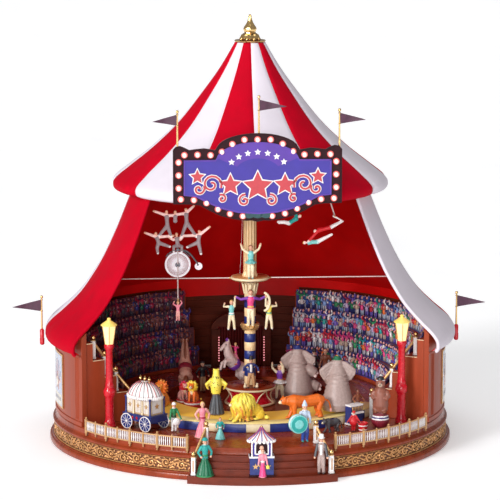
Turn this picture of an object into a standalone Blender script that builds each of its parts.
"""Circus big top: a table-top musical ornament with a striped tent over a ring of moulded figures.

Sizes in this file are millimetres, and each mesh is written in metres.
The origin is the centre of the base's underside. The front is -Y, the right is +X, up is +Z.
Angles about the tent's axis are in degrees: 0 is the front and positive is to the right.
"""
import math

import bmesh
import bpy
from mathutils import Matrix, Vector

MM = 0.001
GAP = 0.3

# Base and stair
BASE_R = 152.0
BAND_SEAT_R = 147.0
BAND_R = 149.4
BAND_LOW, BAND_TOP = 5.6, 15.6
DECK_R = 147.0
DECK_Z = 24.0
STEP_TOPS = (5.6, 10.2, 14.8, 19.4)
STEP_FRONTS = (161.0, 155.5, 153.3, 151.1)
STEP_HALF_ANGLE = 19.5

# Front opening, wall and seating
OPENING_ANGLE = 60.0
WALL_R, WALL_THICK = 147.0, 4.0
TIER_DEPTH = 10.0
TIER_INNER_R = 107.5
TIER_TOPS = (46.3, 59.4, 72.4, 85.6)
LEDGE_R, LEDGE_Z = 102.0, 33.2
AISLE_ANGLE = 161.5

# Tent: radius and height of the cloth's outer face, from the top down
CLOTH = 2.2
ROOF_OUTER = ((11.5, 299.5), (34.6, 264.0), (53.7, 240.0), (73.0, 221.5), (91.0, 207.3), (101.0, 199.5),
              (103.7, 195.0), (103.0, 191.8), (100.4, 190.4))
SOFFIT_R, SOFFIT_Z = 84.0, 190.4
ROOF_CEILING_R, ROOF_CEILING_Z = 9.0, 293.0
SKIRT_OUTER = ((88.5, 190.1), (91.3, 183.0), (99.8, 162.0), (110.0, 140.0), (119.5, 124.0), (129.0, 111.0),
               (141.3, 99.0), (150.0, 91.6), (154.4, 86.0), (155.2, 81.0), (153.6, 78.0))

# Ring, pedestal, masts and high wire
RING_R, RING_INNER_R, RING_Z = 100.0, 62.0, 31.5
DRUM_R, DRUM_TOP_Z = 19.5, 38.5
POLE_R, POLE_TOP_Z = 4.3, 117.7
COLLAR_Z = 82.0
PLATFORM_R, PLATFORM_Z = 14.7, 121.3
MAST_R = 5.0
WIRE_R, WIRE_Z = 0.5, 120.8
WHEEL_R, WHEEL_X = 9.8, -54.6

# Trapeze: the bar's pivot under the roof
PIVOT_X, PIVOT_Z = 49.3, 216.0
TRAPEZE_HALF_WIDTH = 9.0

# Turned cloth and its flat facets
ROOF_SIDES = 24
SKIRT_STEP = 7.5

# Sign over the opening
SIGN_BACK_Y, SIGN_FRONT_Y = -104.1, -109.6
SIGN_HALF_WIDTH, SIGN_X = 60.0, -1.0
SIGN_LOW, SIGN_TOP = 193.9, 233.5
SIGN_ARCH_TOP, SIGN_POINT = 244.2, 180.9


def at(radius, degrees, z=0.0):
    """The point at this radius, angle and height."""
    angle = math.radians(degrees)
    return Vector((radius * math.sin(angle), -radius * math.cos(angle), z))


def clear_scene():
    for old in list(bpy.data.objects):
        bpy.data.objects.remove(old, do_unlink=True)


def finish_look(name, colour, roughness, metallic):
    look = bpy.data.materials.new(name)
    look.use_nodes = True
    shader = look.node_tree.nodes["Principled BSDF"]
    shader.inputs["Base Color"].default_value = (*colour, 1.0)
    shader.inputs["Roughness"].default_value = roughness
    shader.inputs["Metallic"].default_value = metallic
    look.diffuse_color = (*colour, 1.0)
    return look


# Colours read from the photo, as linear values
BROWN = (0.30, 0.085, 0.035)
DARK_BROWN = (0.075, 0.022, 0.014)
RED = (0.62, 0.008, 0.030)
WHITE = (0.86, 0.84, 0.88)
GOLD = (0.72, 0.48, 0.20)
CREAM = (0.85, 0.76, 0.55)
YELLOW = (0.85, 0.52, 0.10)
NAVY = (0.03, 0.05, 0.20)
VIOLET = (0.10, 0.08, 0.45)
GREY = (0.32, 0.31, 0.33)
TAN = (0.62, 0.33, 0.13)
GREEN = (0.05, 0.32, 0.14)
TEAL = (0.05, 0.35, 0.36)
PINK = (0.72, 0.25, 0.30)
BLACK = (0.02, 0.02, 0.025)


# Solids: each is a list of points and a list of faces

def arc_solid(section, start, end, step):
    """Sweep a closed outline of (radius, z) points about the axis, from start to end degrees."""
    spans = max(1, round((end - start) / step))
    closed = abs(end - start - 360.0) < 1e-6
    stations = spans if closed else spans + 1
    count = len(section)
    points = []
    faces = []
    for i in range(stations):
        degrees = start + (end - start) * i / spans
        points += [at(radius, degrees, z) for radius, z in section]
    for i in range(spans):
        here = i * count
        there = (i + 1) % stations * count
        for j in range(count):
            k = (j + 1) % count
            faces.append((here + j, here + k, there + k, there + j))
    if not closed:
        faces.append(tuple(range(count)))
        faces.append(tuple(range(spans * count, stations * count)))
    return points, faces


def turned(profile, sides, centre=(0.0, 0.0, 0.0)):
    """Turn (radius, z) points, bottom to top, about a vertical axis; a zero radius closes in a point."""
    points = []
    rings = []
    for radius, z in profile:
        if radius == 0.0:
            rings.append([len(points)])
            points.append(Vector((0.0, 0.0, z)) + Vector(centre))
        else:
            rings.append(list(range(len(points), len(points) + sides)))
            points += [at(radius, 360.0 * i / sides, z) + Vector(centre) for i in range(sides)]
    faces = [tuple(ring) for ring in (rings[0], rings[-1]) if len(ring) > 1]
    for low, high in zip(rings, rings[1:]):
        for i in range(sides):
            k = (i + 1) % sides
            if len(low) == 1:
                faces.append((low[0], high[i], high[k]))
            elif len(high) == 1:
                faces.append((low[i], low[k], high[0]))
            else:
                faces.append((low[i], low[k], high[k], high[i]))
    return points, faces


def limb(route, radii, sides=6):
    """A round bar along a route, with its own radius at each point."""
    route = [Vector(point) for point in route]
    heading = (route[1] - route[0]).normalized()
    side = heading.orthogonal().normalized()
    points = []
    faces = []
    for i, centre in enumerate(route):
        before = route[max(i - 1, 0)]
        after = route[min(i + 1, len(route) - 1)]
        heading = (after - before).normalized()
        side = (side - heading * side.dot(heading)).normalized()
        up = heading.cross(side)
        for k in range(sides):
            angle = 2.0 * math.pi * k / sides
            points.append(centre + (side * math.cos(angle) + up * math.sin(angle)) * radii[i])
    for i in range(len(route) - 1):
        here = i * sides
        for k in range(sides):
            n = (k + 1) % sides
            faces.append((here + k, here + n, here + sides + n, here + sides + k))
    faces.append(tuple(range(sides)))
    faces.append(tuple(range(len(points) - sides, len(points))))
    return points, faces


def ball(centre, size, sides=8, rings=5):
    """An egg shape: size is its three radii."""
    size = Vector(size) if hasattr(size, "__len__") else Vector((size, size, size))
    profile = [(0.0, -1.0)]
    for i in range(1, rings):
        angle = math.pi * i / rings
        profile.append((math.sin(angle), -math.cos(angle)))
    profile.append((0.0, 1.0))
    points, faces = turned(profile, sides)
    scaled = [Vector((p.x * size.x, p.y * size.y, p.z * size.z)) + Vector(centre) for p in points]
    return scaled, faces


def block(low, high):
    """A box between two corners."""
    (ax, ay, az), (bx, by, bz) = low, high
    points = [Vector((x, y, z)) for z in (az, bz) for x, y in ((ax, ay), (bx, ay), (bx, by), (ax, by))]
    faces = [(0, 1, 2, 3), (4, 5, 6, 7)]
    faces += [(i, (i + 1) % 4, (i + 1) % 4 + 4, i + 4) for i in range(4)]
    return points, faces


def plate(outline, back_y, front_y):
    """An upright sheet: an outline of (x, z) points given a thickness along Y."""
    count = len(outline)
    points = [Vector((x, y, z)) for y in (back_y, front_y) for x, z in outline]
    faces = [tuple(range(count)), tuple(range(count, 2 * count))]
    faces += [(i, (i + 1) % count, (i + 1) % count + count, i + count) for i in range(count)]
    return points, faces


def moved(shape, offset, turn=0.0, scale=1.0):
    """A copy of a shape, scaled, then turned about Z, then moved."""
    points, faces = shape
    change = Matrix.Translation(Vector(offset)) @ Matrix.Rotation(math.radians(turn), 4, "Z")
    return [change @ (point * scale) for point in points], faces


# Objects

def new_object(name, shape, colour, roughness=0.45, metallic=0.0, smooth=True):
    """One object with its own material, its faces pointing out."""
    points, faces = shape
    mesh = bpy.data.meshes.new(name)
    build = bmesh.new()
    corners = [build.verts.new(point * MM) for point in points]
    for face in faces:
        build.faces.new([corners[i] for i in face])
    bmesh.ops.recalc_face_normals(build, faces=build.faces)
    build.to_mesh(mesh)
    build.free()
    part = bpy.data.objects.new(name, mesh)
    bpy.context.scene.collection.objects.link(part)
    mesh.materials.append(finish_look(name, colour, roughness, metallic))
    if smooth:
        shade_round(mesh)
    return part


def shade_round(mesh):
    mesh.shade_smooth()
    mesh.set_sharp_from_angle(angle=math.radians(40.0))


def fused(name, shapes, colour, roughness=0.45, metallic=0.0):
    """Shapes that overlap, joined by Boolean unions into one object."""
    part = new_object(name, shapes[0], colour, roughness, metallic, smooth=False)
    for shape in shapes[1:]:
        tool = new_object(name + "_tool", shape, colour, smooth=False)
        join = part.modifiers.new("join", "BOOLEAN")
        join.operation = "UNION"
        join.solver = "EXACT"
        join.object = tool
        joined = bpy.data.meshes.new_from_object(part.evaluated_get(bpy.context.evaluated_depsgraph_get()))
        part.modifiers.clear()
        part.data = joined
        bpy.data.objects.remove(tool, do_unlink=True)
    part.data.materials.clear()
    part.data.materials.append(bpy.data.materials[name])
    part.data.name = name
    tidy = bmesh.new()
    tidy.from_mesh(part.data)
    bmesh.ops.remove_doubles(tidy, verts=tidy.verts, dist=0.002 * MM)
    bmesh.ops.dissolve_degenerate(tidy, edges=tidy.edges, dist=0.002 * MM)
    tidy.to_mesh(part.data)
    tidy.free()
    shade_round(part.data)
    return part


def stand(part, x, y, z, turn=0.0):
    """Stand an object on a floor at height z, turned about its own upright axis."""
    part.location = Vector((x, y, z + GAP)) * MM
    part.rotation_euler = (0.0, 0.0, math.radians(turn))


# Base, stair and rails

def base_plinth():
    profile = ((0.0, 0.0), (BASE_R - 1.0, 0.0), (BASE_R, 1.0), (BASE_R, 4.6), (BAND_SEAT_R, BAND_LOW),
               (BAND_SEAT_R, BAND_TOP), (149.6, BAND_TOP + 0.4), (149.6, 17.4), (DECK_R, 19.2),
               (DECK_R, DECK_Z), (0.0, DECK_Z))
    new_object("base_plinth", turned(profile, 48), BROWN, 0.35)


def ornament_band():
    inner = BAND_SEAT_R + 2 * GAP
    section = ((inner, BAND_LOW + GAP), (BAND_R, BAND_LOW + 1.0), (BAND_R, BAND_TOP - 1.0),
               (inner, BAND_TOP - GAP))
    reach = STEP_HALF_ANGLE + 0.5
    new_object("ornament_band", arc_solid(section, reach, 360.0 - reach, 7.5), GOLD, 0.4, 0.6)


def front_steps():
    section = [(BASE_R + GAP, 0.0)]
    for front, top, low in zip(STEP_FRONTS, STEP_TOPS, (0.0,) + STEP_TOPS):
        section += [(front, low), (front, top)]
    section += [(DECK_R + GAP, STEP_TOPS[-1]), (150.0, 17.6), (150.0, BAND_LOW + GAP), (BASE_R + GAP, 4.8)]
    new_object("front_steps", arc_solid(section, -STEP_HALF_ANGLE, STEP_HALF_ANGLE, 4.875), BROWN, 0.4)


def newel(foot, height, radius=1.5):
    """A post with a ball on top."""
    x, y, z = foot
    profile = ((radius, 0.0), (radius, height - 3.8), (0.5 * radius, height - 3.2))
    return [turned(profile, 6, (x, y, z)), ball((x, y, z + height - 1.8), 1.8, 6, 4)]


def stair_rail(name, side):
    low_foot = at(157.4, 18.1 * side, STEP_TOPS[0] + GAP)
    high_foot = at(140.0, 16.3 * side, DECK_Z + GAP)
    low_post, high_post = 17.2, 17.0
    shapes = newel(low_foot, low_post) + newel(high_foot, high_post)
    for drop in (4.6, 8.4):
        start = low_foot + Vector((0.0, 0.0, low_post - drop))
        end = high_foot + Vector((0.0, 0.0, high_post - drop))
        shapes.append(limb((start, end), (0.8, 0.8), 6))
    fused(name, shapes, GOLD, 0.4)


def deck_fence(name, side):
    """Posts and two rails on the deck's edge."""
    first, last, posts = 20.6, 57.4, 9
    fence_r = DECK_R + GAP + 1.1
    low_rail, high_rail = 23.2, 30.4
    rails = []
    for z in (low_rail, high_rail):
        section = ((fence_r - 0.6, z - 0.7), (fence_r + 0.6, z - 0.7), (fence_r + 0.6, z + 0.7),
                   (fence_r - 0.6, z + 0.7))
        start, end = sorted((first * side, last * side))
        rails.append(arc_solid(section, start, end, 4.6))
    shapes = [rails[0], rails[1]]
    for i in range(posts):
        angle = (first + 0.4 + (last - first - 0.8) * i / (posts - 1)) * side
        main = i % 2 == 0
        radius = 1.05 if main else 0.75
        foot = at(fence_r, angle, 19.6 if main else 20.6)
        height = 11.8 if main else 10.6
        shapes.insert(1, turned(((radius * 0.6, 0.0), (radius, 2.0), (radius, height), (0.4, height + 1.9)),
                                5, foot))
    fused(name, shapes, CREAM, 0.45)


# Wall, seating and crowd

def skirt_inner_z(radius):
    """Height of the skirt's inner face over this radius, on its sloping part."""
    for (r0, z0), (r1, z1) in zip(SKIRT_OUTER, SKIRT_OUTER[1:]):
        if r0 <= radius <= r1:
            slope = math.atan2(z0 - z1, r1 - r0)
            return z0 + (z1 - z0) * (radius - r0) / (r1 - r0) - CLOTH / math.cos(slope)
    return None


def wall(name, start, end):
    inner = WALL_R - WALL_THICK
    facet = math.cos(math.radians(SKIRT_STEP / 2))
    section = ((inner, DECK_Z + GAP), (WALL_R, DECK_Z + GAP), (WALL_R, skirt_inner_z(WALL_R / facet) - 2 * GAP),
               (inner, skirt_inner_z(inner / facet) - 2 * GAP))
    trim = math.degrees(GAP / 2 / WALL_R)
    new_object(name, arc_solid(section, start + trim, end - trim, 6.6), BROWN, 0.35)


def bleacher(name, side):
    outer = WALL_R - WALL_THICK - GAP
    section = [(outer, DECK_Z + GAP), (TIER_INNER_R, DECK_Z + GAP)]
    for i, top in enumerate(TIER_TOPS):
        inner = TIER_INNER_R + TIER_DEPTH * i
        section.append((inner, top))
        section.append((min(inner + TIER_DEPTH, outer), top))
    start, end = sorted((OPENING_ANGLE * side, AISLE_ANGLE * side))
    tiers = arc_solid(section, start + 0.2, end - 0.2, 8.0)
    start, end = sorted(((OPENING_ANGLE + 5.5) * side, (AISLE_ANGLE - 0.5) * side))
    ledge = ((LEDGE_R, DECK_Z + GAP), (TIER_INNER_R + 1.0, DECK_Z + GAP), (TIER_INNER_R + 1.0, LEDGE_Z),
             (LEDGE_R, LEDGE_Z))
    fused(name, [tiers, arc_solid(ledge, start, end, 8.0)], DARK_BROWN, 0.5)


def crowd(name, side):
    """Four moulded rows of spectators, each against the riser behind it, with a notched line of heads."""
    start, end = sorted(((OPENING_ANGLE + 6.0) * side, (AISLE_ANGLE - 0.6) * side))
    spans, notch, depth, overlap = 20, 1.4, 3.6, 2.2
    floors = (LEDGE_Z,) + TIER_TOPS
    rows = range(len(floors) - 1)
    risers = [TIER_INNER_R + TIER_DEPTH * i - 0.7 for i in rows]
    points = []
    for i in range(spans + 1):
        angle = start + (end - start) * i / spans
        lift = notch if i % 2 else 0.0
        section = []
        for row in rows:
            section += [(risers[row], floors[row] + 0.4), (risers[row], floors[row + 1] + 0.4)]
        section[-1] = (risers[-1], floors[-1] + overlap + lift)
        for row in reversed(rows):
            foot = floors[row] + 0.4 if row == 0 else floors[row] + overlap + lift
            section += [(risers[row] - depth, floors[row + 1] + overlap + lift), (risers[row] - depth, foot)]
        points += [at(radius, angle, z) for radius, z in section]
    count = len(section)
    faces = []
    for i in range(spans):
        for j in range(count):
            k = (j + 1) % count
            faces.append((i * count + j, i * count + k, (i + 1) * count + k, (i + 1) * count + j))
    faces += [tuple(range(count)), tuple(range(spans * count, (spans + 1) * count))]
    new_object(name, (points, faces), NAVY, 0.6)


def aisle_rail(name, side):
    """Posts on the floor and on two tiers, joined by one slanted handrail."""
    feet = ((TIER_INNER_R - 3.0, OPENING_ANGLE - 3.5, DECK_Z, 23.0),
            (TIER_INNER_R + 8.0, OPENING_ANGLE + 2.6, TIER_TOPS[0], 18.5),
            (TIER_INNER_R + 26.5, OPENING_ANGLE + 2.6, TIER_TOPS[2], 17.5))
    shapes = []
    tops = []
    for radius, angle, floor, height in feet:
        foot = at(radius, angle * side, floor + GAP)
        tops.append(foot + Vector((0.0, 0.0, height - 5.0)))
        shapes.append(newel(foot, height, 1.3))
    rail = limb((tops[0] + (tops[0] - tops[1]) * 0.1, tops[1], tops[2]), (0.9, 0.9, 0.9), 6)
    fused(name, [rail] + shapes[0] + shapes[1] + shapes[2], GOLD, 0.4)


def performers_entrance():
    """The curtained arch that closes the back aisle."""
    front_y, back_y = 118.0, 124.0
    half, spring_z, top_z = 24.0, 58.0, 72.0
    outline = [(-half, DECK_Z + GAP), (half, DECK_Z + GAP), (half, spring_z)]
    outline += [(half * math.cos(a), spring_z + (top_z - spring_z) * math.sin(a))
                for a in (math.pi * i / 8 for i in range(1, 8))]
    outline.append((-half, spring_z))
    frame = plate(outline, back_y, front_y)
    posts = [block((x - 2.0, front_y - 3.0, DECK_Z + GAP), (x + 2.0, front_y + 1.0, spring_z))
             for x in (-half + 3.0, half - 3.0)]
    fused("performers_entrance", [frame] + posts, DARK_BROWN, 0.5)


# Tent

def offset_inward(profile, thickness):
    """The inner face of a cloth whose outer face is this profile."""
    inner = []
    for i, (radius, z) in enumerate(profile):
        r0, z0 = profile[max(i - 1, 0)]
        r1, z1 = profile[min(i + 1, len(profile) - 1)]
        length = math.hypot(r1 - r0, z1 - z0)
        inner.append((radius + (z1 - z0) / length * thickness, z - (r1 - r0) / length * thickness))
    return inner


def roof_canopy():
    inner = offset_inward(ROOF_OUTER[:6], CLOTH)[1:]
    section = list(ROOF_OUTER) + [(SOFFIT_R, SOFFIT_Z), (SOFFIT_R, SOFFIT_Z + CLOTH), (97.0, SOFFIT_Z + CLOTH)]
    section += list(reversed(inner)) + [(ROOF_CEILING_R, ROOF_CEILING_Z)]
    outer = list(reversed(section[:len(ROOF_OUTER)]))
    profile = [(0.0, ROOF_CEILING_Z)] + list(reversed(section[len(ROOF_OUTER):])) + outer
    profile.append((0.0, ROOF_OUTER[0][1]))
    new_object("roof_canopy", turned(profile, ROOF_SIDES), RED, 0.55)


def tent_skirt(name, start, end):
    inner = offset_inward(SKIRT_OUTER, CLOTH)
    section = list(SKIRT_OUTER) + list(reversed(inner))
    trim = 0.08
    new_object(name, arc_solid(section, start + trim, end - trim, SKIRT_STEP), WHITE, 0.55)


def finial():
    base = ROOF_OUTER[0][1] + GAP
    profile = ((11.0, 0.0), (11.2, 0.9), (7.6, 1.6), (7.0, 3.2), (5.4, 5.4), (4.0, 6.4), (4.8, 8.4),
               (4.4, 10.6), (2.4, 13.9), (1.4, 17.0), (0.9, 19.6), (0.0, 20.3))
    new_object("finial", turned(profile, 12, (0.0, 0.0, base)), GOLD, 0.3, 0.8)


# Sign and flags

def sign_outline(inset=0.0):
    half = SIGN_HALF_WIDTH - inset
    right = [(half, SIGN_LOW + inset), (half, SIGN_TOP - inset), (half - 6.0, SIGN_TOP - 1.6 - inset),
             (34.0, SIGN_TOP - 2.6 - inset)]
    arch = [(30.0 * math.cos(a), SIGN_TOP - 2.0 - inset + (SIGN_ARCH_TOP - SIGN_TOP + 2.0) * math.sin(a))
            for a in (math.radians(20 + 20 * i) for i in range(8))]
    left = [(-x, z) for x, z in reversed(right)]
    belly = [(-36.0, SIGN_LOW + inset), (-22.0, 187.0 + inset), (-8.0, 182.4 + inset), (0.0, SIGN_POINT + inset),
             (8.0, 182.4 + inset), (22.0, 187.0 + inset), (36.0, SIGN_LOW + inset)]
    return [(x + SIGN_X, z) for x, z in right + arch + left + belly]


def pennant(pole_x, pole_y, top_z, reach, drop):
    """A pointed flag that flies to one side of its pole."""
    outline = ((pole_x, top_z), (pole_x, top_z - drop), (pole_x + reach, top_z - drop * 0.62))
    return plate(outline, pole_y - 0.45, pole_y + 0.45)


def flag(foot, pole_top, reach, drop):
    """A gold pole with a ball and a pennant; reach is negative where it flies to the left."""
    x, y, z = foot
    pole = limb(((x, y, z), (x, y, pole_top - 1.0)), (0.7, 0.7), 6)
    return [pole, ball((x, y, pole_top - 1.2), 1.2, 6, 4), pennant(x, y, pole_top - 3.0, reach, drop)]


def sign_board():
    """The lit sign box, with three pennants plugged into its top edge."""
    middle_y = (SIGN_BACK_Y + SIGN_FRONT_Y) / 2
    shapes = [plate(sign_outline(), SIGN_BACK_Y, SIGN_FRONT_Y)]
    for x, foot_z, top_z, reach in ((-58.0, 231.5, 261.1, -18.0), (0.0, 242.0, 271.4, 20.0),
                                    (57.5, 231.5, 261.7, 19.0)):
        shapes += flag((x, middle_y, foot_z), top_z, reach, 8.0)
    fused("sign_board", shapes, VIOLET, 0.4)


def side_flag(name, side):
    x = (SKIRT_OUTER[-2][0] + GAP + 1.7) * side
    socket = turned(((1.0, 71.0), (1.7, 72.0), (1.7, 82.0), (1.0, 83.2)), 8, (x, 0.0, 0.0))
    fused(name, [socket] + flag((x, 0.0, 80.0), 109.0, 22.4 * side, 9.0), GOLD, 0.4)


def lamp_post(name, side):
    post = [(4.4, 0.0), (4.4, 3.0), (3.3, 5.0), (3.1, 22.0), (4.4, 25.0), (4.4, 28.0), (3.0, 31.0), (2.6, 58.0)]
    lantern = [(3.6, 60.5), (3.6, 61.5), (3.2, 62.0), (5.6, 75.0), (6.0, 75.6), (3.0, 78.4), (0.9, 79.4),
               (0.0, 81.0)]
    part = new_object(name, turned(post + lantern, 12), RED, 0.35)
    foot = at(129.5, 56.0 * side)
    stand(part, foot.x, foot.y, DECK_Z)


# Ring, pedestal and masts

def ring_curb():
    low = DECK_Z + GAP
    section = ((RING_INNER_R, low), (RING_R, low), (RING_R, RING_Z), (RING_INNER_R, RING_Z))
    new_object("ring_curb", arc_solid(section, 0.0, 360.0, 10.0), CREAM, 0.4)


def pedestal_drum():
    """The drum that carries the mast, with the ringmaster moulded on its front edge."""
    low = DECK_Z + GAP
    waist = DRUM_R - 4.2
    profile = ((DRUM_R, low), (DRUM_R, low + 1.4), (waist, low + 7.0), (DRUM_R - 0.8, DRUM_TOP_Z - 2.2),
               (DRUM_R, DRUM_TOP_Z - 1.0), (DRUM_R, DRUM_TOP_Z))
    ringmaster = person(23.5, left_hand=(-6.0, -1.0, 12.5), right_hand=(6.0, -1.0, 12.5), stance=2.6)
    shapes = [turned(profile, 24)] + [moved(shape, (0.0, -13.6, DRUM_TOP_Z - 0.4)) for shape in ringmaster]
    fused("pedestal_drum", shapes, RED, 0.4)


def mast_lower():
    """The banded pole, with the collar that the spinning acrobats ride on."""
    profile = ((POLE_R, DRUM_TOP_Z + GAP), (POLE_R, COLLAR_Z - 1.4), (POLE_R + 1.6, COLLAR_Z - 1.0),
               (POLE_R + 1.6, COLLAR_Z), (POLE_R, COLLAR_Z), (POLE_R, POLE_TOP_Z))
    new_object("mast_lower", turned(profile, 16), NAVY, 0.35)


def wire_platform():
    """The disc on top of the pole, its dancer, and the two high wires that run out to the tent."""
    low = POLE_TOP_Z + GAP
    profile = ((0.0, low), (5.0, low), (7.4, low + 0.9), (PLATFORM_R - 1.0, WIRE_Z - 0.8), (PLATFORM_R, WIRE_Z),
               (PLATFORM_R - 0.5, PLATFORM_Z + 0.6), (0.0, PLATFORM_Z + 0.6))
    reach = skirt_inner_r(WIRE_Z + WIRE_R) - GAP
    wires = [limb(((PLATFORM_R - 2.5) * side * Vector((1, 0, 0)) + Vector((0, 0, WIRE_Z)),
                   Vector((reach * side, 0.0, WIRE_Z))), (WIRE_R, WIRE_R), 6) for side in (-1, 1)]
    dancer = person(26.0, left_hand=(-7.5, 0.0, 27.0), right_hand=(7.5, 0.0, 27.0), skirt=0.19)
    dancer = [moved(shape, (0.0, -10.4, PLATFORM_Z + 0.3)) for shape in dancer]
    fused("wire_platform", [turned(profile, 20)] + wires + dancer, CREAM, 0.4)


def skirt_inner_r(height):
    """Radius of the skirt's inner face at this height."""
    for (r0, z0), (r1, z1) in zip(SKIRT_OUTER, SKIRT_OUTER[1:]):
        if z1 <= height <= z0:
            slope = math.atan2(z0 - z1, r1 - r0)
            return r0 + (r1 - r0) * (z0 - height) / (z0 - z1) - CLOTH / math.sin(slope)
    return None


def mast_upper():
    low, top = PLATFORM_Z + 0.6 + GAP, ROOF_CEILING_Z - GAP
    profile = ((MAST_R + 0.8, low), (MAST_R + 0.8, low + 1.5), (MAST_R, low + 2.5), (MAST_R, 250.0), (4.0, top))
    new_object("mast_upper", turned(profile, 12), GOLD, 0.35, 0.5)


# Figures: each is a list of shapes about its own feet, facing the front

def person(height, left_hand, right_hand, skirt=0.0, stance=1.6, hat=0.0, lean=0.0):
    """A moulded figure; hands are points from its feet, and a skirt is a share of its height."""
    u = height
    hip, shoulder = 0.47 * u, 0.79 * u
    top = Vector((0.0, -lean, 0.0))
    if skirt:
        shapes = [turned(((skirt * u, 0.0), ((skirt - 0.02) * u, 0.03 * u), (0.075 * u, 0.53 * u)), 8)]
    else:
        shapes = []
        for side in (-1, 1):
            ankle = Vector((stance * side, 0.0, 0.0))
            shapes.append(limb((ankle, Vector((0.035 * u * side, 0.0, hip + 0.03 * u))),
                               (0.06 * u, 0.065 * u), 5))
    shapes.append(limb(((0, 0, hip - 0.02 * u), top + Vector((0, 0, shoulder)),
                        top + Vector((0, 0, shoulder + 0.07 * u))), (0.08 * u, 0.095 * u, 0.035 * u), 7))
    for side, hand in ((-1, left_hand), (1, right_hand)):
        socket = top + Vector((0.07 * u * side, 0.0, shoulder - 0.02 * u))
        hand = Vector(hand)
        shapes.append(limb((socket, hand), (0.042 * u, 0.032 * u), 4))
    head = top + Vector((0.0, 0.0, 0.92 * u))
    shapes.append(ball(head, (0.068 * u, 0.072 * u, 0.085 * u), 6, 4))
    if hat:
        shapes.append(turned(((0.09 * u, 0.0), (0.055 * u, 0.03 * u), (0.05 * u, hat)), 6,
                             head + Vector((0.0, 0.0, 0.055 * u))))
    return shapes


def four_legs(half_long, half_wide, hip_z, radius, sides=5, foot=1.0):
    legs = []
    for x in (-half_wide, half_wide):
        for y in (-half_long, half_long):
            legs.append(limb(((x, y, 0.0), (x * 0.8, y * 0.9, hip_z)), (radius * foot, radius * 1.3), sides))
    return legs


def big_cat(length, height):
    """A tiger or dog on four legs, its head low towards -Y."""
    half = length / 2
    back_z = height * 0.62
    trunk = limb(((0, half * 0.78, back_z), (0, 0, back_z - 0.3), (0, -half * 0.6, back_z + 0.5)),
                 (height * 0.19, height * 0.23, height * 0.23), 8)
    head = ball((0, -half * 0.92, height * 0.66), (height * 0.15, height * 0.19, height * 0.17), 7, 5)
    neck = limb(((0, -half * 0.5, back_z + 0.4), (0, -half * 0.88, height * 0.66)),
                (height * 0.19, height * 0.13), 6)
    shapes = [trunk, neck, head]
    shapes += four_legs(half * 0.62, height * 0.13, back_z, height * 0.085)
    tail = limb(((0, half * 0.6, back_z), (0, half * 1.0, back_z * 0.7), (0, half * 1.08, back_z * 0.4)),
                (height * 0.05, height * 0.035, height * 0.05), 4)
    shapes.append(tail)
    return shapes


def maned_lion():
    """A lion lying with its head up, inside a mane that reaches the ground."""
    shapes = [ball((0, -2.0, 11.2), (7.0, 9.2, 10.8), 12, 8), ball((0, -10.8, 13.0), (2.6, 2.8, 2.6), 7, 5)]
    shapes.append(limb(((0, 2.0, 8.0), (0, 8.5, 7.0), (0, 12.5, 5.4)), (5.4, 5.2, 3.4), 8))
    for side in (-1, 1):
        shapes.append(ball((3.0 * side, 10.0, 4.4), (2.4, 4.0, 4.4), 7, 5))
        shapes.append(limb(((3.0 * side, -6.0, 6.0), (3.0 * side, -10.6, 1.6)), (2.0, 1.6), 6))
    shapes.append(limb(((0, 11.0, 5.4), (2.5, 15.5, 3.4), (5.4, 14.6, 2.2)), (1.2, 0.9, 1.8), 5))
    return shapes


def sitting_lion(height):
    """A maned lion sitting up on its haunches."""
    shapes = [limb(((0, height * 0.18, 0.04 * height), (0, height * 0.12, height * 0.35),
                    (0, -height * 0.08, height * 0.62)), (height * 0.26, height * 0.24, height * 0.16), 7)]
    shapes.append(ball((0, -height * 0.12, height * 0.7), (height * 0.27, height * 0.2, height * 0.3), 7, 5))
    shapes.append(ball((0, -height * 0.28, height * 0.7), (height * 0.12, height * 0.14, height * 0.13), 6, 4))
    for x in (-height * 0.12, height * 0.12):
        shapes.append(limb(((x, -height * 0.22, -0.02 * height), (x, -height * 0.17, height * 0.5)),
                           (height * 0.07, height * 0.075), 5))
    return shapes


def tub(radius, height):
    return turned(((radius, 0.0), (radius * 0.9, height)), 10)


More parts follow.
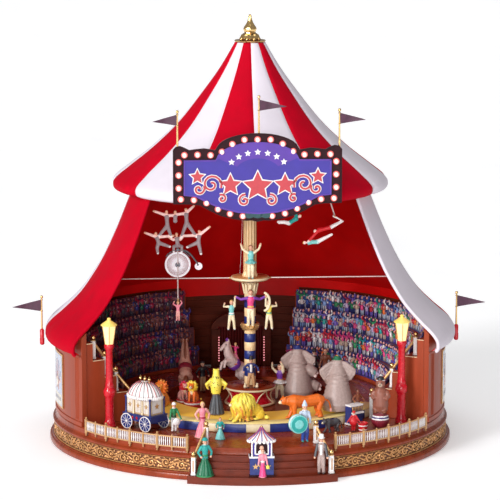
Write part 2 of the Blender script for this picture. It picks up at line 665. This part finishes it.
def rearing_horse(height, rider=False):
    """A horse up on its hind legs, its head towards -Y."""
    u = height
    shapes = [limb(((0, 0.20 * u, 0.40 * u), (0, 0.06 * u, 0.47 * u), (0, -0.10 * u, 0.62 * u)),
                   (0.095 * u, 0.10 * u, 0.10 * u), 7)]
    shapes.append(limb(((0, -0.06 * u, 0.60 * u), (0, -0.15 * u, 0.74 * u), (0, -0.17 * u, 0.88 * u)),
                       (0.09 * u, 0.065 * u, 0.045 * u), 7))
    shapes.append(limb(((0, -0.13 * u, 0.90 * u), (0, -0.24 * u, 0.84 * u), (0, -0.31 * u, 0.78 * u)),
                       (0.045 * u, 0.042 * u, 0.028 * u), 6))
    for x in (-0.05 * u, 0.05 * u):
        hoof, hock = (x * 1.2, 0.18 * u, 0.014 * u), (x * 1.2, 0.26 * u, 0.2 * u)
        shapes.append(limb((hoof, hock, (x, 0.17 * u, 0.42 * u)), (0.035 * u, 0.03 * u, 0.065 * u), 5))
        shapes.append(limb(((x, -0.08 * u, 0.56 * u), (x, -0.24 * u, 0.56 * u), (x, -0.26 * u, 0.42 * u)),
                           (0.05 * u, 0.03 * u, 0.026 * u), 4))
    shapes.append(limb(((0, 0.15 * u, 0.43 * u), (0, 0.34 * u, 0.36 * u), (0, 0.37 * u, 0.12 * u)),
                       (0.035 * u, 0.045 * u, 0.02 * u), 5))
    if rider:
        shapes.append(limb(((0, 0.06 * u, 0.50 * u), (0, 0.05 * u, 0.66 * u), (0, 0.03 * u, 0.82 * u)),
                           (0.07 * u, 0.05 * u, 0.045 * u), 7))
        shapes.append(ball((0, 0.02 * u, 0.85 * u), (0.04 * u, 0.04 * u, 0.05 * u), 6, 4))
    shapes.append(limb(((0, -0.16 * u, 0.87 * u), (0, -0.14 * u, 1.0 * u)), (0.03 * u, 0.035 * u), 5))
    return shapes


def sitting_elephant(height):
    """An elephant begging on its haunches, facing -Y, with drooping ears and a small round hat."""
    u = height
    spine = ((0, 0.11 * u, 0.02 * u), (0, 0.11 * u, 0.14 * u), (0, 0.08 * u, 0.36 * u), (0, 0.04 * u, 0.56 * u),
             (0, -0.02 * u, 0.74 * u), (0, -0.06 * u, 0.88 * u))
    shapes = [limb(spine, [share * u for share in (0.27, 0.30, 0.235, 0.175, 0.135, 0.09)], 9)]
    shapes.append(ball((0, -0.11 * u, 0.82 * u), (0.13 * u, 0.14 * u, 0.13 * u), 8, 5))
    flap = ((0.05, 0.92), (0.15, 0.91), (0.34, 0.78), (0.33, 0.69), (0.25, 0.57), (0.18, 0.56), (0.08, 0.70))
    for side in (-1, 1):
        ear = plate([(x * u * side, z * u) for x, z in flap], 0.025 * u, -0.025 * u)
        shapes.append(moved(ear, (0.0, -0.03 * u, 0.0), 14.0 * side))
        shapes.append(limb(((0.12 * u * side, -0.04 * u, 0.11 * u), (0.18 * u * side, -0.26 * u, 0.09 * u)),
                           (0.10 * u, 0.08 * u), 6))
        shapes.append(limb(((0.12 * u * side, -0.06 * u, 0.56 * u), (0.14 * u * side, -0.26 * u, 0.54 * u),
                            (0.13 * u * side, -0.32 * u, 0.46 * u)), (0.09 * u, 0.07 * u, 0.06 * u), 6))
    shapes.append(limb(((0, -0.2 * u, 0.82 * u), (0, -0.33 * u, 0.76 * u), (0, -0.38 * u, 0.88 * u)),
                       (0.06 * u, 0.045 * u, 0.03 * u), 5))
    hat = ((0.075 * u, 0.0), (0.07 * u, 0.05 * u), (0.03 * u, 0.09 * u))
    shapes.append(turned(hat, 8, (0, -0.08 * u, 0.93 * u)))
    return shapes


def figures():
    """Every moulded figure on the deck, the stair and the ring."""
    arms_down = {"left_hand": (-4.5, -2.0, 12.5), "right_hand": (4.5, -2.0, 12.5)}
    people = (
        ("green_clown", (-60.9, -93.0, DECK_Z), 21.6, GREEN, 20.0, {"left_hand": (-4.5, -3.0, 9.0),
         "right_hand": (4.5, -4.0, 9.0)}, 0.0, 1.8),
        ("pink_lady", (-40.9, -110.5, DECK_Z), 26.3, PINK, 10.0, arms_down, 0.19, 0.0),
        ("teal_child", (-28.5, -117.5, DECK_Z), 16.0, TEAL, 0.0, {"left_hand": (-3.0, -1.0, 7.5),
         "right_hand": (3.0, -1.0, 7.5)}, 0.19, 0.0),
        ("lion_tamer", (-29.0, -68.5, RING_Z), 33.5, YELLOW, 180.0, {"left_hand": (-7.0, -3.0, 18.0),
         "right_hand": (7.0, -3.0, 18.0)}, 0.17, 2.5),
        ("bandsman", (-34.4, 40.5, DECK_Z), 24.5, BLACK, 20.0, arms_down, 0.0, 0.0),
        ("stair_lady", (-40.9, -151.0, STEP_TOPS[0]), 27.0, TEAL, 15.0, arms_down, 0.19, 0.0),
        ("stair_man", (41.8, -150.6, STEP_TOPS[0]), 27.5, GREY, -10.0, arms_down, 0.0, 1.5),
    )
    for name, spot, height, colour, turn, arms, skirt, hat in people:
        lift = 0.0 if name.startswith("stair") else GAP
        shapes = [moved(shape, Vector(spot) + Vector((0, 0, lift)), turn)
                  for shape in person(height, skirt=skirt, hat=hat, **arms)]
        part = fused(name, shapes, colour, 0.5)
        if name.startswith("stair"):
            cut_over_steps(part)


def ring_animals():
    lion = fused("lion_on_ring", maned_lion(), YELLOW, 0.55)
    stand(lion, -8.5, -91.5, RING_Z, -68.0)
    tiger = fused("tiger_on_ring", big_cat(36.0, 21.0), TAN, 0.55)
    stand(tiger, 35.5, -86.0, RING_Z, -72.0)
    watcher = [moved(shape, (0.0, 0.0, 0.4)) for shape in sitting_lion(20.5)]
    stand(fused("lion_by_wagon", watcher, TAN, 0.55), -68.0, -40.0, RING_Z, -25.0)


def lion_pair():
    """Two lions sitting on a low bench of tubs inside the ring."""
    beside = (-7.0, 7.5, 0.0)
    bench = [tub(7.2, 8.0), moved(tub(5.6, 8.0), beside)]
    first = [moved(shape, (0.0, 0.0, 7.6), -20.0) for shape in sitting_lion(17.0)]
    second = [moved(shape, Vector(beside) + Vector((0.0, 0.0, 7.6)), 25.0) for shape in sitting_lion(15.0)]
    stand(fused("lions_on_tubs", bench + first + second, TAN, 0.55), -44.5, -27.0, DECK_Z)


def horses():
    stand(fused("horse_left", rearing_horse(46.5), BROWN, 0.5), -48.5, 20.0, DECK_Z, 180.0)
    stand(fused("horse_centre", rearing_horse(43.0, rider=True), WHITE, 0.5), -10.5, 41.0, DECK_Z, -55.0)


def elephants():
    back = sitting_elephant(40.0)
    back.append(limb(((-6.0, 2.0, 22.5), (-13.0, 3.0, 19.0)), (4.4, 3.6), 7))
    back.append(limb(((-7.0, 3.0, 9.5), (-15.5, 4.5, 8.5)), (4.6, 3.8), 7))
    showgirl = person(27.0, left_hand=(-5.5, -1.0, 28.5), right_hand=(1.0, -2.5, 29.5), stance=2.0)
    back += [moved(shape, (14.5, 6.0, 0.0), 165.0) for shape in showgirl]
    back.append(limb(((9.0, 5.0, 11.0), (14.5, 6.0, 13.0)), (1.6, 1.6), 6))
    stand(fused("elephant_back", back, GREY, 0.6), 38.0, 19.0, DECK_Z, 180.0)
    front = sitting_elephant(40.5)
    stand(fused("elephant_front", front, GREY, 0.6), 61.0, -62.0, RING_Z, 180.0)


def drum_clown():
    body = person(28.0, left_hand=(-4.5, -3.8, 14.0), right_hand=(2.6, -4.2, 13.5), hat=2.0)
    wheel = turned(((6.3, -2.5), (6.8, -2.0), (6.8, 2.0), (6.3, 2.5)), 14)
    points, faces = wheel
    upright = Matrix.Rotation(math.radians(90.0), 4, "X")
    drum = [upright @ point + Vector((-6.6, -4.8, 14.8)) for point in points], faces
    link = limb(((-2.0, 0.0, 15.5), (-6.0, -4.0, 14.8)), (1.2, 1.2), 6)
    stand(fused("drum_clown", body + [link, drum], TEAL, 0.45), 31.5, -129.5, DECK_Z, 15.0)


def bear_on_ball():
    radius = 6.6
    foot = 2.0 * radius
    shapes = [ball((0, 0, radius), radius, 12, 6)]
    bear = [limb(((0, 0.5, foot - 0.8), (0, 0.6, foot + 4.2), (0, 0.3, foot + 13.0), (0, 0, foot + 17.5)),
                 (4.2, 5.8, 5.0, 3.4), 8),
            ball((0, -0.9, foot + 20.6), (3.5, 3.9, 3.6), 8, 5)]
    for side in (-1, 1):
        bear.append(limb(((2.7 * side, -0.6, foot + 3.4), (3.2 * side, -2.6, foot - 0.4)), (2.8, 1.8), 6))
        bear.append(limb(((3.6 * side, -0.4, foot + 14.6), (6.0 * side, -1.6, foot + 11.5),
                          (4.0 * side, -4.4, foot + 9.4)), (2.0, 1.7, 1.4), 6))
        bear.append(ball((2.7 * side, -0.3, foot + 23.2), 1.3, 6, 4))
    bear.append(turned(((2.6, foot + 22.6), (2.9, foot + 23.4), (1.6, foot + 25.8)), 8))
    stand(fused("bear_on_ball", shapes + bear, BROWN, 0.5), 90.0, -91.0, DECK_Z, -12.0)


def bucket_clown():
    body = person(15.5, left_hand=(-5.0, -1.0, 9.0), right_hand=(4.8, -2.5, 7.0), hat=1.2, lean=1.5)
    bucket = turned(((2.6, 0.0), (3.6, 7.2)), 10, (6.4, -3.2, 0.0))
    stand(fused("bucket_clown", body + [bucket], RED, 0.45), 69.5, -99.5, DECK_Z, 5.0)


def small_dog():
    body = big_cat(15.0, 12.0)
    stand(fused("performing_dog", body, GREY, 0.55), 54.0, -99.5, DECK_Z, -60.0)


def band_wagon():
    """The parade wagon: a box body with a ribbed roof on four round wheels."""
    half_wide, half_long = 8.5, 14.0
    bed = block((-half_wide, -half_long, 7.2), (half_wide, half_long, 12.0))
    box = block((1.5 - half_wide, 2.0 - half_long, 11.6), (half_wide - 1.5, half_long - 2.0, 24.4))
    points, faces = turned(((1.0, 24.0), (1.02, 25.2), (0.76, 31.5), (0.42, 35.0)), 12)
    roof = [Vector((point.x * (half_wide + 1.6), point.y * (half_long + 0.6), point.z)) for point in points], faces
    shapes = [bed, box, roof]
    for y in (-4.0, 0.0, 4.0):
        shapes.append(ball((0.3, y, 36.0), (1.1, 1.1, 3.4), 6, 4))
    wheel_r, wheel_x = 5.8, half_wide + 1.1
    for y in (-9.2, 9.5):
        shapes.append(limb(((-wheel_x, y, wheel_r - 0.2), (wheel_x, y, wheel_r - 0.2)), (1.1, 1.1), 6))
        shapes.append(block((-1.6, y - 1.5, 4.9), (1.6, y + 1.5, 8.0)))
        for x in (-wheel_x, wheel_x):
            points, faces = turned(((wheel_r, -0.8), (wheel_r, 0.8)), 12)
            turn = Matrix.Translation((x, y, wheel_r)) @ Matrix.Rotation(math.radians(90.0), 4, "Y")
            shapes.append(([turn @ point for point in points], faces))
    spot = at(114.0, -45.7)
    stand(fused("parade_wagon", shapes, NAVY, 0.45), spot.x, spot.y, DECK_Z, 44.3)


def ticket_booth():
    """The booth on the stair, with a girl in front of it."""
    x, front_y, back_y = -1.0, -157.6, -148.0
    middle_y = (front_y + back_y) / 2
    low, sill, eave, peak = STEP_TOPS[0], 20.6, 32.0, 42.0
    base = block((x - 8.4, front_y, low), (x + 8.4, back_y, sill))
    upper = block((x - 7.2, front_y + 0.8, sill - 0.5), (x + 7.2, back_y - 0.8, eave))
    roof = turned(((12.4, eave - 0.8), (12.0, eave), (5.0, eave + 4.0), (1.2, peak - 2.0), (0.0, peak)), 8)
    points = [Vector((point.x * 0.76 + x, point.y * 0.52 + middle_y, point.z)) for point in roof[0]]
    girl = person(20.5, left_hand=(-3.2, -2.0, 9.0), right_hand=(3.4, -2.2, 9.0), skirt=0.15)
    girl = [moved(shape, (x + 0.6, front_y - 0.8, low)) for shape in girl]
    booth = fused("ticket_booth", [base, upper, (points, roof[1])] + girl, NAVY, 0.45)
    cut_over_steps(booth)


def cut_over_steps(part):
    """Cut away what would sink into the stair, so the piece sits over its treads."""
    outer = [STEP_FRONTS[0] + 4.0] + [front + GAP for front in STEP_FRONTS[1:]] + [DECK_R - 1.0]
    section = [(outer[-1], -1.0), (outer[0], -1.0)]
    for i, top in enumerate(STEP_TOPS):
        section += [(outer[i], top + GAP), (outer[i + 1], top + GAP)]
    stair = arc_solid(section, -STEP_HALF_ANGLE, STEP_HALF_ANGLE, 4.875)
    tool = new_object("stair_tool", stair, BROWN, smooth=False)
    cut = part.modifiers.new("cut", "BOOLEAN")
    cut.operation = "DIFFERENCE"
    cut.solver = "EXACT"
    cut.object = tool
    trimmed = bpy.data.meshes.new_from_object(part.evaluated_get(bpy.context.evaluated_depsgraph_get()))
    part.modifiers.clear()
    part.data = trimmed
    bpy.data.objects.remove(tool, do_unlink=True)


# Moving acts

def place_about(part_shapes, point):
    """Shapes given in the tent's frame, made relative to a joint's own point."""
    return [moved(shape, -Vector(point)) for shape in part_shapes]


def spinner_acrobats():
    """Three acrobats on a hub that turns on the pole's collar."""
    low = COLLAR_Z + GAP
    bore, rim = POLE_R + 0.6, POLE_R + 2.4
    hub = arc_solid(((bore, low), (rim, low), (rim, low + 4.0), (bore, low + 4.0)), 0.0, 360.0, 22.5)
    hand = Vector((11.6, -5.2, 107.5))
    centre = person(29.0, left_hand=(-hand.x, hand.y + 8.0, hand.z - 84.0),
                    right_hand=(hand.x, hand.y + 8.0, hand.z - 84.0))
    shapes = [hub] + [moved(shape, (0.0, -8.0, 84.0)) for shape in centre]
    shapes.append(block((-1.6, -8.6, 83.0), (1.6, -5.2, 86.0)))
    for side in (-1, 1):
        spot = Vector((14.2 * side, -3.4, 81.5))
        grip = Vector((hand.x * side, hand.y, hand.z)) - spot
        free = Vector((5.0 * side, -1.0, 21.0))
        left, right = (free, grip) if side < 0 else (grip, free)
        shapes += [moved(shape, spot) for shape in person(23.0, left_hand=left, right_hand=right, stance=2.2)]
    fused("spinner_acrobats", shapes, TEAL, 0.45)


def disc_on_edge(centre, radius, half_thick, sides):
    """A wheel whose axle runs along Y."""
    points, faces = turned(((radius, -half_thick), (radius, half_thick)), sides)
    upright = Matrix.Rotation(math.radians(90.0), 4, "X")
    return [upright @ point + Vector(centre) for point in points], faces


def acrobat(hip, neck, hands, feet):
    """A small figure given by its joints."""
    hip, neck = Vector(hip), Vector(neck)
    up = (neck - hip).normalized()
    shoulders = neck - up * 0.8
    shapes = [limb((hip - up * 0.8, shoulders, neck + up * 0.8), (1.5, 1.8, 0.9), 6),
              ball(neck + up * 2.0, (1.45, 1.4, 1.8), 6, 4)]
    shapes += [limb((shoulders, hand), (0.95, 0.8), 5) for hand in hands]
    shapes += [limb((hip, foot), (1.3, 0.85), 5) for foot in feet]
    return shapes


def wire_cycle():
    """A high-wheel cycle on the wire, steadied by a figure slung below it."""
    axle_z = WIRE_Z + WIRE_R + GAP + WHEEL_R
    crown_z = axle_z + WHEEL_R + 2.0
    axle = Vector((WHEEL_X, 0.0, axle_z))
    half = 2.6
    shapes = [disc_on_edge(axle, WHEEL_R, 0.9, 24)]
    shapes.append(limb((axle + Vector((0, -half - 0.6, 0)), axle + Vector((0, half + 0.6, 0))), (0.9, 0.9), 6))
    shapes.append(limb(((WHEEL_X, -half - 0.5, crown_z), (WHEEL_X, half + 0.5, crown_z)), (1.0, 1.0), 6))
    hand_z = 105.0
    for y in (-half, half):
        shapes.append(limb(((WHEEL_X, y, hand_z), (WHEEL_X, y, crown_z)), (0.6, 0.6), 6))
    shapes.append(limb(((WHEEL_X, -half - 0.5, hand_z), (WHEEL_X, half + 0.5, hand_z)), (0.8, 0.8), 6))
    small = Vector((-38.8, 0.0, 130.0))
    shapes.append(limb(((WHEEL_X, 0, crown_z), (-47.0, 0, crown_z - 2.2), (-41.5, 0, 134.8), small),
                       (0.9, 0.9, 0.8, 0.7), 6))
    shapes.append(disc_on_edge(small, 2.9, 1.3, 12))
    origin = (WHEEL_X, 0.0, WIRE_Z)
    part = fused("wire_cycle", place_about(shapes, origin), GREY, 0.35, 0.3)
    part.location = Vector(origin) * MM

    seat = Vector((WHEEL_X, 0.0, crown_z + 1.0 + GAP))
    riders = acrobat(seat + Vector((0, 0, 1.6)), (-55.2, 0, 152.5), ((-60.5, 0, 152.0), (-50.5, 0, 153.0)), ())
    riders.insert(0, limb((seat, seat + Vector((0, 0, 3.0))), (1.9, 1.7), 6))
    riders += acrobat((-68.9, 0, 148.2), (-70.4, 0, 153.2), ((-79.3, 0, 156.0), (-57.5, 0, 153.4)),
                      ((-69.5, 0, 140.4), (-60.6, 0, 145.2)))
    riders += acrobat((-38.9, 0, 148.4), (-38.4, 0, 154.4), ((-52.5, 0, 153.2), (-30.2, 0, 160.1)),
                      ((-47.2, 0, 144.6), (-37.0, 0, 139.5)))
    riders += acrobat((-62.3, 0, 161.2), (-62.7, 0, 169.6), ((-72.6, 0, 172.4), (-56.0, 0, 169.0)),
                      ((-68.6, 0, 153.6), (-59.4, 0, 152.8)))
    riders += acrobat((-47.7, 0, 163.4), (-48.2, 0, 171.2), ((-56.8, 0, 169.4), (-42.2, 0, 176.1)),
                      ((-51.8, 0, 152.6), (-40.4, 0, 152.6)))
    riders += acrobat((-56.3, 0, 164.8), (-56.3, 0, 169.4), (), ())
    part = fused("cycle_acrobats", place_about(riders, origin), GREY, 0.5)
    part.location = Vector(origin) * MM

    swinger = person(15.0, left_hand=(-2.6, 0, 15.0), right_hand=(2.0, 0, 15.6), stance=1.2)
    swinger = [moved(shape, (WHEEL_X, 0.0, hand_z - 0.8 - GAP - 15.6)) for shape in swinger]
    part = fused("slung_acrobat", place_about(swinger, origin), PINK, 0.5)
    part.location = Vector(origin) * MM


def trapeze_bracket():
    """The yoke under the roof that the trapeze swings from."""
    leg_r = 1.2
    farthest = math.hypot(PIVOT_X + leg_r, TRAPEZE_HALF_WIDTH + leg_r) / math.cos(math.pi / ROOF_SIDES)
    legs = [limb(((PIVOT_X, y, PIVOT_Z - 1.4), (PIVOT_X, y, roof_inner_z(farthest) - GAP)), (leg_r, leg_r), 8)
            for y in (-TRAPEZE_HALF_WIDTH, TRAPEZE_HALF_WIDTH)]
    pin = limb(((PIVOT_X, -TRAPEZE_HALF_WIDTH, PIVOT_Z), (PIVOT_X, TRAPEZE_HALF_WIDTH, PIVOT_Z)), (0.8, 0.8), 8)
    fused("trapeze_yoke", [pin] + legs, GOLD, 0.35, 0.6)


def roof_inner_z(radius):
    for (r0, z0), (r1, z1) in zip(ROOF_OUTER[:6], ROOF_OUTER[1:6]):
        if r0 <= radius <= r1:
            slope = math.atan2(z0 - z1, r1 - r0)
            return z0 + (z1 - z0) * (radius - r0) / (r1 - r0) - CLOTH / math.cos(slope)
    return None


def eye(centre):
    """A ring around the yoke's pin, with its hole along Y."""
    hole, bar = 1.3, 0.6
    section = ((hole, -bar), (hole + 2 * bar, -bar), (hole + 2 * bar, bar), (hole, bar))
    points, faces = arc_solid(section, 0.0, 360.0, 45.0)
    upright = Matrix.Rotation(math.radians(90.0), 4, "X")
    return [upright @ point + Vector(centre) for point in points], faces


def trapeze_flyers():
    """The trapeze: ropes, two bars, the catcher with a flyer, and a second flyer."""
    shapes = []
    bar = Vector((63.8, 0.0, 168.0))
    rear_bar = Vector((34.0, 0.0, 172.0))
    half = 5.0
    for y in (-half, half):
        shapes.append(eye((PIVOT_X, y, PIVOT_Z)))
        shapes.append(limb(((PIVOT_X + 0.4, y, PIVOT_Z - 1.6), bar + Vector((0, y, 0))), (0.5, 0.5), 4))
        shapes.append(limb(((PIVOT_X - 0.6, y, PIVOT_Z - 1.6), rear_bar + Vector((0, y, 0))), (0.5, 0.5), 4))
    for middle in (bar, rear_bar):
        shapes.append(limb((middle + Vector((0, -half - 1.0, 0)), middle + Vector((0, half + 1.0, 0))),
                           (0.7, 0.7), 6))
    for y in (-1.3, 1.1):
        shapes.append(limb(((62.8, y, 167.6), (70.0, y, 163.6), (61.0, y, 158.8)), (0.9, 1.2, 1.5), 5))
    shapes += acrobat((60.5, 0, 158.6), (51.0, 0.1, 156.4), ((43.9, -1.0, 148.1), (44.3, 0.8, 147.6)), ())
    shapes += acrobat((51.0, 0, 147.8), (43.2, -0.1, 147.3), (), ((61.6, -1.2, 153.5), (60.8, 1.1, 152.6)))
    shapes += acrobat((29.5, 0, 162.2), (36.0, 0.1, 166.4), ((33.8, -1.1, 172.1), (34.3, 1.0, 172.3)),
                      ((21.2, -1.2, 163.4), (21.9, 1.0, 162.5)))
    origin = (PIVOT_X, 0.0, PIVOT_Z)
    part = fused("trapeze_flyers", place_about(shapes, origin), RED, 0.45)
    part.location = Vector(origin) * MM


def build():
    clear_scene()
    base_plinth()
    ornament_band()
    front_steps()
    for side, word in ((-1, "left"), (1, "right")):
        stair_rail("stair_rail_" + word, side)
        deck_fence("deck_fence_" + word, side)
        bleacher("bleacher_" + word, side)
        crowd("crowd_" + word, side)
        aisle_rail("aisle_rail_" + word, side)
        side_flag("side_flag_" + word, side)
        lamp_post("lamp_post_" + word, side)
    for name, start, end in (("wall_right", 60.0, 140.0), ("wall_back", 140.0, 220.0),
                             ("wall_left", 220.0, 300.0)):
        wall(name, start, end)
    performers_entrance()
    for name, start in (("skirt_right", 60.0), ("skirt_back_right", 120.0), ("skirt_back_left", 180.0),
                        ("skirt_left", 240.0)):
        tent_skirt(name, start, start + 60.0)
    roof_canopy()
    finial()
    sign_board()
    ring_curb()
    pedestal_drum()
    mast_lower()
    wire_platform()
    mast_upper()
    spinner_acrobats()
    wire_cycle()
    trapeze_bracket()
    trapeze_flyers()
    figures()
    ring_animals()
    lion_pair()
    horses()
    elephants()
    drum_clown()
    bear_on_ball()
    bucket_clown()
    small_dog()
    band_wagon()
    ticket_booth()


build()
